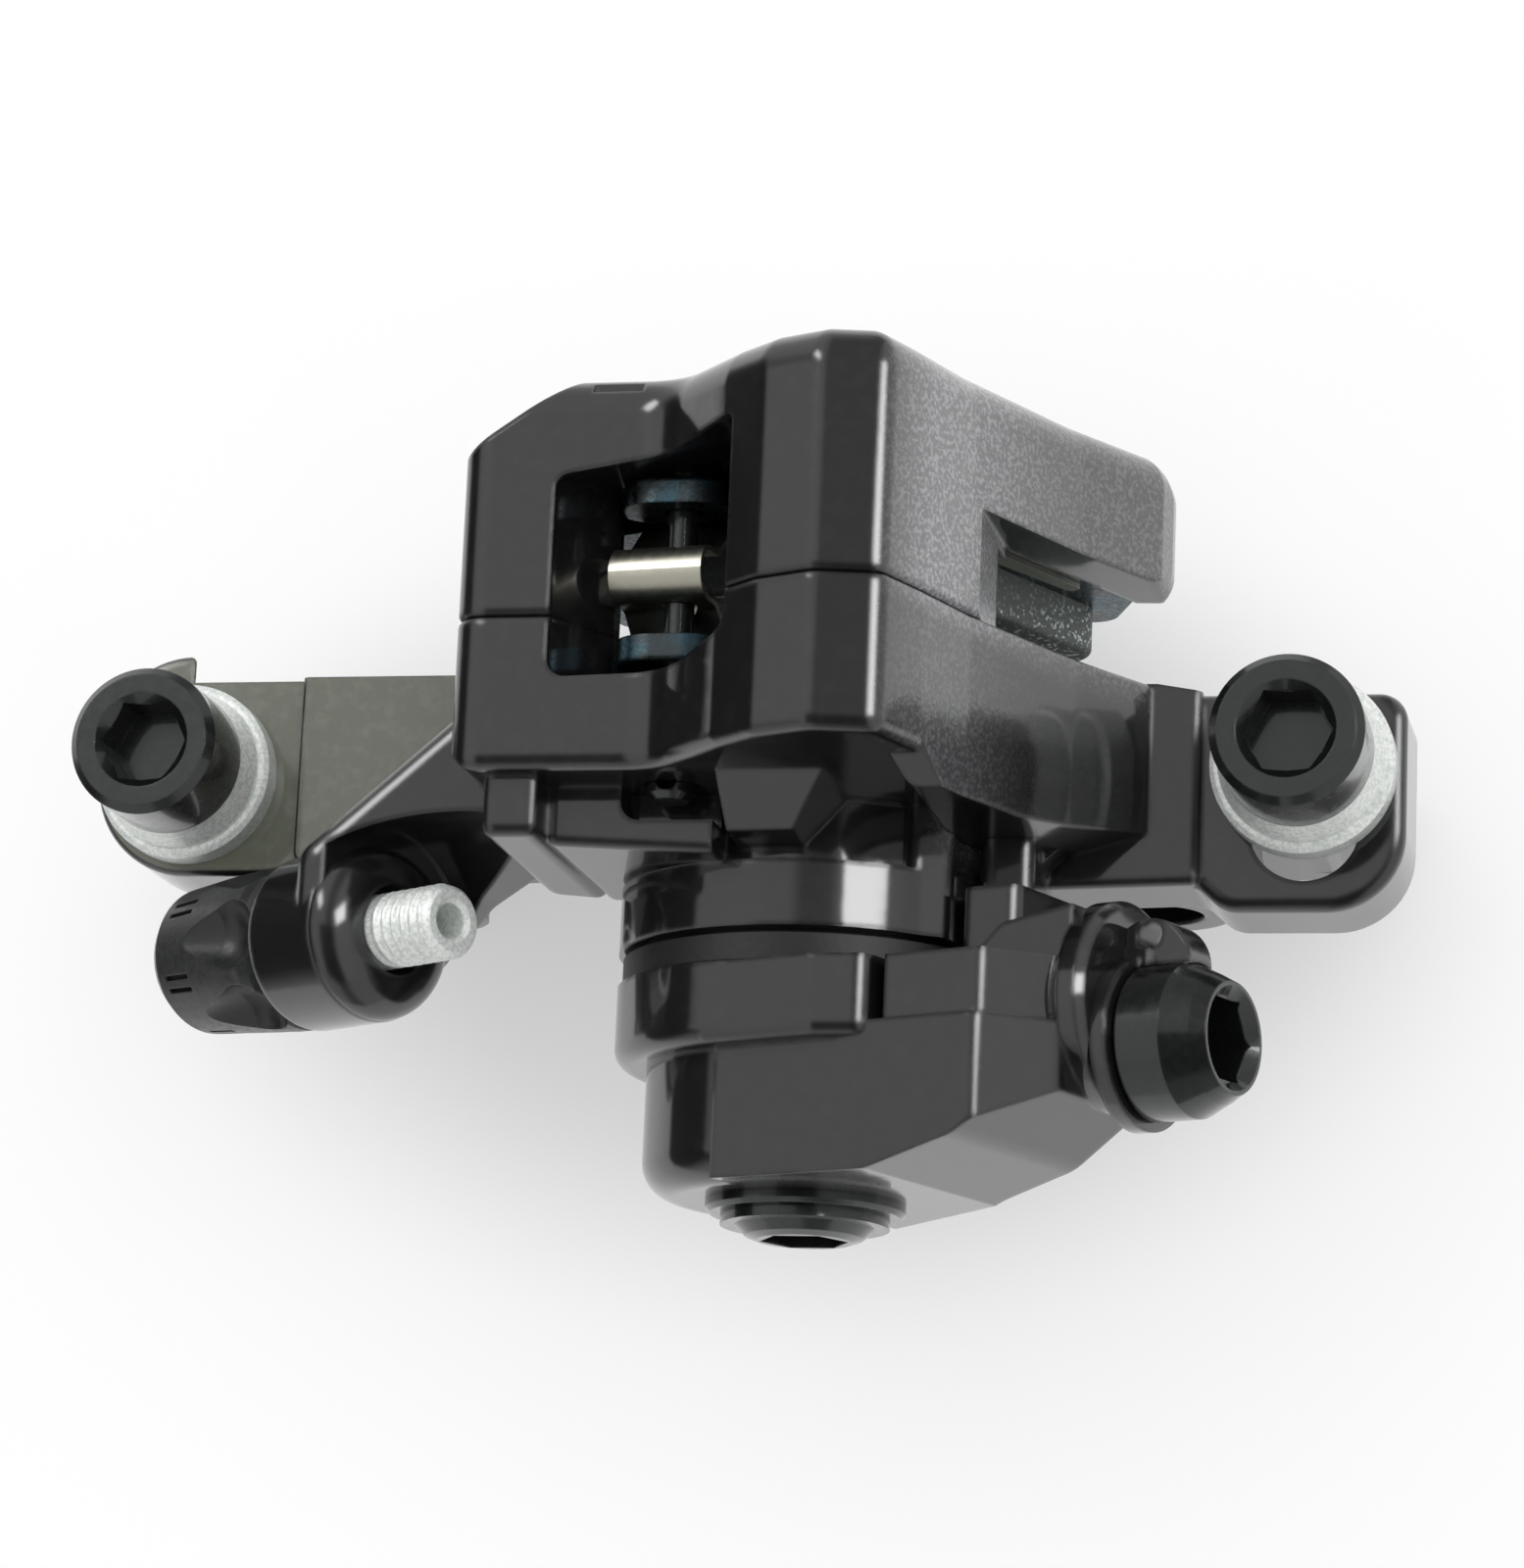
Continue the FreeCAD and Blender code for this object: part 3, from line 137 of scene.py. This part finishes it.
# Its tones: the mask, and the tone where the mask is 0 and where it is 1
lacquer_tones = (
    ("gloss", "dusty", "#141415", "#1a1a1b"),
    # The sand's grit is real grain; its paler tones near the crown are painted sheen
    ("far_sand", "speckled", "#4a4a4c", "#707072"),
    ("sand_with_painted_sheen", "speckled", "#747477", "#a8a8ab"),
    ("sand_and_painted_sheen", "near_crown", "far_sand", "sand_with_painted_sheen"),
    ("olive", "dusty", "#65685c", "#6e7165"),
    ("coated", "sand", "gloss", "sand_and_painted_sheen"),
    ("casting", "thin", "coated", "olive"))

# Finishes with one even grain, by slot. Millimetres: spots and clouds are the sizes of the spots in
# the skin and in the tones, depth that of the relief, edge the rounding seen at edges. Tones are for
# a grain of 0 and 1, or at the two ends of tone_span, and rough is the skin's range of roughness.
# The real grains of metal, nylon and rubber are finer than a pixel and are drawn coarser, to show.
rough_span = (0.3, 0.7)
even_finishes = {
    # Black oxide on forged and turned screws: a smooth oiled skin, nearly black, with clean
    # highlights along its rims
    "black_steel": dict(
        name="black_oxide_steel", tones=("#2f3131", "#3a3c3b"), spots=0.3, detail=2.0,
        rough=(0.22, 0.28), depth=0.0006, edge=0.2, Metallic=0.8, Coat_Weight=0.5,
        Coat_Roughness=0.08, Coat_IOR=1.6),
    # Clear passivated zinc on steel: silver white and slightly grainy, with a soft bright glare
    "zinc": dict(
        name="bright_zinc_plate", tones=("#e0e6e3", "#fcfefb"), tone_span=(0.42, 0.58), spots=0.14,
        detail=4.0, blend=0.7, rough=(0.3, 0.5), depth=0.008, edge=0.12, Metallic=0.3),
    # Black moulded nylon: a dull charcoal sheen with a faint grain from the mould
    "knob": dict(
        name="moulded_black_nylon", tones=("#1b1c1c", "#272828"), spots=0.2, rough=(0.3, 0.42),
        depth=0.012, edge=0.2, IOR=1.53),
    # Moulded rubber: soft black with a dull skin
    "seal": dict(
        name="moulded_black_rubber", tones=("#101010", "#191919"), spots=0.25, depth=0.02, edge=0.1,
        Roughness=0.5, IOR=1.52),
    # Rolled stainless strip and wire: warm grey satin with lines along the rolling direction
    "spring": dict(
        name="rolled_spring_steel", tones=("#c4c1b2", "#d2cfc1"), spots=0.175, detail=1.0,
        stretch=(1.0, 0.08, 1.0), rough=(0.3, 0.36), depth=0.0003, edge=0.06, Metallic=1.0),
    # Hardened and ground steel: cool grey with a fine even grind
    "hard_steel": dict(
        name="ground_hard_steel", tones=("#8e9090", "#a9abab"), spots=0.1, rough=(0.18, 0.3),
        depth=0.005, edge=0.1, Metallic=1.0),
    # Pressed brass strip, for the cage of the balls: warm yellow with a light brushing
    "cage": dict(
        name="pressed_brass", tones=("#b08d4a", "#c6a35c"), spots=0.15, rough=(0.25, 0.38),
        depth=0.005, edge=0.1, Metallic=1.0),
    # Polished bearing steel: a mirror with hardly any haze
    "ball": dict(
        name="polished_bearing_steel", tones=("#c9cbcc", "#d4d6d7"), spots=0.3, detail=2.0,
        depth=0.001, edge=0.05, Metallic=1.0, Roughness=0.08),
    # Blued pressed steel for the pad backs: blue black with a teal cast that comes and goes
    "pad_steel": dict(
        name="blued_pressed_steel", tones=("#4a5052", "#465f69"), clouds=1.2, tone_span=(0.4, 0.62),
        spots=0.12, rough=(0.22, 0.4), depth=0.012, edge=0.2, Metallic=1.0)}

# Friction lining, in millimetres: its metal flakes and the lumps of its compound
flake_size = 0.2
lump_size = 0.15
lump_detail = 4.0
lump_blend = 0.7
lining_depth = 0.06
lining_edge = 0.1
lining_tones = ("#7a807e", "#a0a8a7")
lining_fades = {
    "flake": ("draw", 0.8, 0.9, 0.0, 1.0),
    "rough": ("flake", 0.0, 1.0, 0.6, 0.3)}
lining_steps = (("height", "ADD", "lumps", "stand"),)

# Cable screw, in millimetres: its thread runs from inside the stop to the tip
screw_place = (-21.2, -5.9, 22.8)
screw_lean = 57.7
screw_low = -15.55
screw_high = 7.0
screw_r = 2.45
screw_bore_r = 1.15
screw_pitch = 0.85
screw_depth = 0.26
screw_chamfer = 0.45
bore_chamfer = 0.3
thread_low = -0.9
thread_steps = 10
flank_rise = 1.5
flank_flat = 0.15
turn_sides = 72
turned_crease = 40

# Bulged end of the cable stop, on the screw's axis: from inside the casting up to the hole's rim
bulge_hole_r = 2.9
bulge_wide = 2.75
bulge_low = -0.4
bulge_high = 2.1
bulge_steps = 16

# Halves of the pad spring: name, joint, side of the disc and travel, and the disc's middle, in
# millimetres
spring_halves = (("pad_spring_arm_half", "arm_pad_slide", -1, 0.9),
                 ("pad_spring_wheel_half", "wheel_pad_slide", 1, 0.8))
spring_crease = 30
rotor_y = 15.3
cut_tolerance = 1e-7


def linear(hex_colour):
    """An sRGB hex colour as the linear RGBA that a socket takes."""
    parts = [int(hex_colour[k:k + 2], 16) / 255 for k in (1, 3, 5)]
    return [p / 12.92 if p <= 0.04045 else ((p + 0.055) / 1.055) ** 2.4 for p in parts] + [1.0]


def add(tree, kind, inputs=None, **settings):
    """Adds a node with its settings, and fills its sockets with values or with links."""
    made = tree.nodes.new(kind)
    for name, value in settings.items():
        setattr(made, name, value)
    for key, value in (inputs or {}).items():
        if isinstance(value, bpy.types.NodeSocket):
            tree.links.new(value, made.inputs[key])
        else:
            made.inputs[key].default_value = value
    return made


def finish_of(name, **values):
    """A new material with one surface shader; values are set on the shader's own sockets."""
    material = bpy.data.materials.new(name)
    material.use_nodes = True
    tree = material.node_tree
    shader = tree.nodes["Principled BSDF"]
    for key, value in values.items():
        shader.inputs[key.replace("_", " ")].default_value = value
    return material, tree, shader


def masks_of(tree, sources, fades, steps=()):
    """Masks by name. A fade carries a source smoothly from one pair of values to another, and a step
    joins two masks, or a mask and a number."""
    made = dict(sources)
    for key, (source, low, high, start, end) in fades.items():
        made[key] = add(tree, "ShaderNodeMapRange", {
            "Value": made[source], "From Min": low, "From Max": high, "To Min": start, "To Max": end},
            interpolation_type="SMOOTHSTEP").outputs["Result"]
    for key, operation, a, b in steps:
        made[key] = add(tree, "ShaderNodeMath", {0: made[a], 1: made.get(b, b)},
                        operation=operation).outputs[0]
    return made


def relief(tree, shader, height, depth_mm, round_mm):
    """Rounds the shading at the edges and presses the height into the surface."""
    edge = add(tree, "ShaderNodeBevel", {"Radius": round_mm * MM}, samples=3).outputs["Normal"]
    bump = add(tree, "ShaderNodeBump", {
        "Height": height, "Strength": 1.0, "Distance": depth_mm * MM, "Normal": edge})
    tree.links.new(bump.outputs["Normal"], shader.inputs["Normal"])
    return bump.outputs["Normal"]


def even_finish(name, tones, spots, depth, edge, detail=3.0, blend=0.5, rough=None, tone_span=None,
                clouds=None, stretch=None, **values):
    """A finish from the table of even finishes."""
    material, tree, shader = finish_of(name, **values)
    where = add(tree, "ShaderNodeTexCoord").outputs["Object"]
    if stretch:
        where = add(tree, "ShaderNodeVectorMath", {0: where, 1: stretch},
                    operation="MULTIPLY").outputs["Vector"]
    grains = {}
    for key, size in (("skin", spots), ("tone", clouds)):
        if size:
            grains[key] = add(tree, "ShaderNodeTexNoise", {
                "Vector": where, "Scale": 1 / (2 * size * MM), "Detail": detail,
                "Roughness": blend}).outputs["Fac"]
    grains.setdefault("tone", grains["skin"])
    fades = {}
    if tone_span:
        fades["tone"] = ("tone", *tone_span, 0.0, 1.0)
    if rough:
        fades["rough"] = ("skin", *rough_span, *rough)
    mask = masks_of(tree, grains, fades)
    tone = add(tree, "ShaderNodeMix", {
        "Factor": mask["tone"], "A": linear(tones[0]), "B": linear(tones[1])}, data_type="RGBA")
    tree.links.new(tone.outputs["Result"], shader.inputs["Base Color"])
    if rough:
        tree.links.new(mask["rough"], shader.inputs["Roughness"])
    relief(tree, shader, mask["skin"], depth, edge)
    return material


def gloss_lacquer():
    """Black gloss enamel over a sand cast aluminium body: a clear wet skin whose highlights wander
    a little, with the sand's grain showing through on the faces that were not rubbed down."""
    material, tree, shader = finish_of(
        "gloss_enamel_on_cast_aluminium", Roughness=0.45, Specular_IOR_Level=0.12, Coat_Weight=1.0,
        Coat_Roughness=0.08, Coat_IOR=1.7)
    where = add(tree, "ShaderNodeTexCoord").outputs["Object"]
    in_mm = add(tree, "ShaderNodeVectorMath", {0: where, 1: [1 / MM] * 3}, operation="MULTIPLY")
    spot = add(tree, "ShaderNodeSeparateXYZ", {"Vector": in_mm.outputs["Vector"]}).outputs
    facing = add(tree, "ShaderNodeSeparateXYZ", {
        "Vector": add(tree, "ShaderNodeNewGeometry").outputs["Normal"]}).outputs
    sources = {"x": spot["X"], "y": spot["Y"], "z": spot["Z"],
               "tilt_x": facing["X"], "tilt_z": facing["Z"]}
    for key, (size, detail, blend) in lacquer_grains.items():
        sources[key] = add(tree, "ShaderNodeTexNoise", {
            "Vector": where, "Scale": 1 / (2 * size * MM), "Detail": detail,
            "Roughness": blend}).outputs["Fac"]
    mask = masks_of(tree, sources, lacquer_fades, lacquer_steps)
    tone = {}
    for key, share, *ends in lacquer_tones:
        low, high = [linear(end) if end.startswith("#") else tone[end] for end in ends]
        tone[key] = add(tree, "ShaderNodeMix", {"Factor": mask[share], "A": low, "B": high},
                        data_type="RGBA").outputs["Result"]
    tree.links.new(tone["casting"], shader.inputs["Base Color"])
    height = add(tree, "ShaderNodeMix", {
        "Factor": mask["sand"], "A": mask["ripple"], "B": mask["grit"]}).outputs["Result"]
    skin = relief(tree, shader, height, lacquer_depth, lacquer_edge)
    tree.links.new(skin, shader.inputs["Coat Normal"])
    return material


def friction_lining():
    """Pressed friction compound: coarse dark grey, with flakes of metal that catch the light."""
    material, tree, shader = finish_of("pressed_friction_compound", IOR=1.5)
    where = add(tree, "ShaderNodeTexCoord").outputs["Object"]
    flakes = add(tree, "ShaderNodeTexVoronoi", {"Vector": where, "Scale": 1 / (flake_size * MM)})
    draw = add(tree, "ShaderNodeSeparateColor", {"Color": flakes.outputs["Color"]}).outputs
    lumps = add(tree, "ShaderNodeTexNoise", {
        "Vector": where, "Scale": 1 / (2 * lump_size * MM), "Detail": lump_detail,
        "Roughness": lump_blend}).outputs["Fac"]
    mask = masks_of(tree, {"draw": draw[0], "stand": draw[1], "lumps": lumps},
                    lining_fades, lining_steps)
    tone = add(tree, "ShaderNodeMix", {
        "Factor": mask["flake"], "A": linear(lining_tones[0]), "B": linear(lining_tones[1])},
        data_type="RGBA")
    tree.links.new(tone.outputs["Result"], shader.inputs["Base Color"])
    tree.links.new(mask["flake"], shader.inputs["Metallic"])
    tree.links.new(mask["rough"], shader.inputs["Roughness"])
    relief(tree, shader, mask["height"], lining_depth, lining_edge)
    return material


def dress():
    """Gives every node the finish that its slot names, and returns the finishes."""
    finishes = {slot: even_finish(**facts) for slot, facts in even_finishes.items()}
    finishes["lacquer"] = gloss_lacquer()
    finishes["lining"] = friction_lining()
    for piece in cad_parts.values():
        for index, old in enumerate(list(piece.data.materials)):
            piece.data.materials[index] = finishes[old.name.split(".")[0]]
    return finishes


def object_of(shape, name, finish, crease=None):
    """The shape as an object in the scene, sharp where faces meet at more than crease degrees."""
    mesh = bpy.data.meshes.new(name)
    shape.to_mesh(mesh)
    shape.free()
    if crease:
        mesh.set_sharp_from_angle(angle=math.radians(crease))
    mesh.materials.append(finish)
    made = bpy.data.objects.new(name, mesh)
    bpy.context.scene.collection.objects.link(made)
    return made


def turned_piece(name, rows, finish, body):
    """A closed ring turned around the axis of the cable screw. Each row gives its height along the
    axis and its radius, or a function for the radius at a share of the turn, in millimetres."""
    shape = bmesh.new()
    rings = []
    for along, radius in rows:
        made = []
        for k in range(turn_sides):
            turn = 2 * math.pi * k / turn_sides
            r = (radius(k / turn_sides) if callable(radius) else radius) * MM
            made.append(shape.verts.new((r * math.cos(turn), r * math.sin(turn), along * MM)))
        rings.append(made)
    for low, high in zip(rings, rings[1:] + rings[:1]):
        for k in range(turn_sides):
            after = (k + 1) % turn_sides
            shape.faces.new((low[k], low[after], high[after], high[k]))
    bmesh.ops.recalc_face_normals(shape, faces=shape.faces)
    for face in shape.faces:
        face.smooth = True
    piece = object_of(shape, name, finish, turned_crease)
    piece.matrix_world = (Matrix.Translation(Vector(screw_place) * MM)
                          @ Matrix.Rotation(math.radians(screw_lean), 4, "Y"))
    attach(piece, body)
    return piece


def cable_screw(finish):
    """The bright tube in the cable stop, with a real thread cut along it."""

    def cut(along):
        """The radius of the threaded outside at that height, at a share of the turn."""
        rise = min(1.0, max(0.0, (along - thread_low) / screw_pitch))
        tip = screw_r - max(0.0, along - screw_high + screw_chamfer)

        def radius(share):
            phase = (along / screw_pitch - share) % 1.0
            flank = min(1.0, max(0.0, flank_rise * (1 - abs(2 * phase - 1)) - flank_flat))
            return min(tip, screw_r - screw_depth * flank * rise)
        return radius

    step = screw_pitch / thread_steps
    heights = [screw_low, thread_low - screw_pitch]
    heights += [thread_low + k * step for k in range(int((screw_high - thread_low) / step) + 1)]
    heights.append(screw_high)
    rows = [(along, cut(along)) for along in heights]
    rows += [(screw_high, screw_bore_r + bore_chamfer), (screw_high - bore_chamfer, screw_bore_r),
             (screw_low, screw_bore_r)]
    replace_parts(turned_piece("cable_screw_thread", rows, finish, "barrel"), "barrel_screw")


def stop_end(finish):
    """The end of the cable stop, which bulges out around the screw like a rolled rim."""
    rows = [(bulge_low, bulge_hole_r)]
    for k in range(bulge_steps + 1):
        turn = math.radians(90 * k / bulge_steps)
        rows.append((bulge_low + bulge_high * math.cos(turn),
                     bulge_hole_r + bulge_wide * math.sin(turn)))
    turned_piece("cable_stop_end", rows, finish, "caliper")


def pad_spring_halves(finish):
    """The folded pad spring, cut at its fold over the disc into two halves, which ride on the
    caliper."""
    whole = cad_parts["pad_spring"]
    for name, joint, side, travel in spring_halves:
        shape = bmesh.new()
        shape.from_mesh(whole.data)
        shape.transform(whole.matrix_world)
        cut = bmesh.ops.bisect_plane(
            shape, geom=shape.verts[:] + shape.edges[:] + shape.faces[:], dist=cut_tolerance,
            plane_co=(0.0, rotor_y * MM, 0.0), plane_no=(0.0, side, 0.0), clear_inner=True)
        rim = [part for part in cut["geom_cut"] if isinstance(part, bmesh.types.BMEdge)]
        bmesh.ops.holes_fill(shape, edges=rim)
        half = object_of(shape, name, finish, spring_crease)
        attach(half, "caliper")
        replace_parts(half, "pad_spring")
        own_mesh(half)


def sheet():
    """A round white sheet under the caliper, which fades into the white around it. Its glow is dimmed
    under the caliper as painted shade.
    """
    material, tree, shader = finish_of("matt_white_paper", Roughness=0.9, IOR=1.4)
    shader.inputs["Base Color"].default_value = linear("#a0a1a0")
    shader.inputs["Emission Color"].default_value = linear("#ffffff")
    path = add(tree, "ShaderNodeLightPath").outputs
    where = add(tree, "ShaderNodeTexCoord").outputs["Object"]
    spread = add(tree, "ShaderNodeVectorMath", {
        0: where, 1: [1 / (half * MM) for half in footprint] + [0.0]}, operation="MULTIPLY")
    distance = add(tree, "ShaderNodeVectorMath", {0: spread.outputs["Vector"]},
                   operation="LENGTH").outputs["Value"]
    # The glow is dimmed under the caliper as painted shade, so that its gaps stay dark
    mask = masks_of(
        tree, {"camera": path["Is Camera Ray"], "gloss": path["Is Glossy Ray"], "distance": distance},
        {"glow": ("distance", *painted_shade_span, *sheet_glow)},
        [("seen", "MAXIMUM", "camera", "gloss"), ("strength", "MULTIPLY", "seen", "glow")])
    tree.links.new(mask["strength"], shader.inputs["Emission Strength"])
    shape = bmesh.new()
    bmesh.ops.create_circle(shape, cap_ends=True, segments=sheet_sides, radius=sheet_radius)
    floor = object_of(shape, "paper_sheet", material)
    middle = (cad_low + cad_high) / 2
    floor.location = (middle.x, middle.y, cad_low.z - sheet_drop)


def lamp(name, aim, wide, high, level, **rays):
    """A soft box of that radiance, at the point aim; rays name the kinds that don't see it."""
    light = bpy.data.lights.new(name, "AREA")
    light.shape = "RECTANGLE"
    light.size = wide
    light.size_y = high
    light.energy = level * math.pi * wide * high
    box = bpy.data.objects.new(name, light)
    box.location = aim
    box.rotation_euler = Vector(aim).to_track_quat("Z", "Y").to_euler()
    box.visible_camera = False
    for kind, value in rays.items():
        setattr(box, "visible_" + kind, value)
    bpy.context.scene.collection.objects.link(box)


def studio():
    """A white room around the caliper, as the table of its fades has it, with two bright soft boxes
    that show only in the gloss and a wide one that lights matt surfaces."""
    world = bpy.data.worlds.new("studio")
    bpy.context.scene.world = world
    world.use_nodes = True
    tree = world.node_tree
    way = add(tree, "ShaderNodeTexCoord").outputs["Generated"]
    axes = add(tree, "ShaderNodeSeparateXYZ", {"Vector": way}).outputs
    mask = masks_of(tree, {axis: axes[axis] for axis in "XYZ"}, room_fades, room_steps)
    seen = add(tree, "ShaderNodeLightPath").outputs["Is Camera Ray"]
    strength = add(tree, "ShaderNodeMix", {
        "Factor": seen, "A": mask["light"], "B": 1.0}).outputs["Result"]
    background = tree.nodes["Background"]
    background.inputs["Color"].default_value = linear("#ffffff")
    tree.links.new(strength, background.inputs["Strength"])
    for name, aim, wide, high, level in gloss_boxes:
        lamp(name, Vector(aim) * box_reach, wide, high, level, diffuse=False)
    lamp("fill_box", fill_place, fill_size, fill_size, fill_level, glossy=False)


def camera():
    """The photograph's own place and lens."""
    lens = bpy.data.cameras.new("camera")
    lens.sensor_fit = "VERTICAL"
    lens.sensor_height = camera_film
    lens.lens = camera_lens
    lens.clip_start, lens.clip_end = camera_clip
    eye = bpy.data.objects.new("camera", lens)
    tilt, swing, roll = (math.radians(angle) for angle in camera_turn)
    turn = (Matrix.Rotation(roll, 3, "Z") @ Matrix.Rotation(tilt, 3, "X")
            @ Matrix.Rotation(swing, 3, "Y"))
    eye.matrix_world = Matrix.Translation(Vector(camera_place) * MM) @ turn.transposed().to_4x4()
    bpy.context.scene.collection.objects.link(eye)
    bpy.context.scene.camera = eye


bpy.context.scene.view_settings.view_transform = "Standard"
camera()
sheet()
studio()
finishes = dress()
cable_screw(finishes["zinc"])
stop_end(finishes["lacquer"])
pad_spring_halves(finishes["spring"])
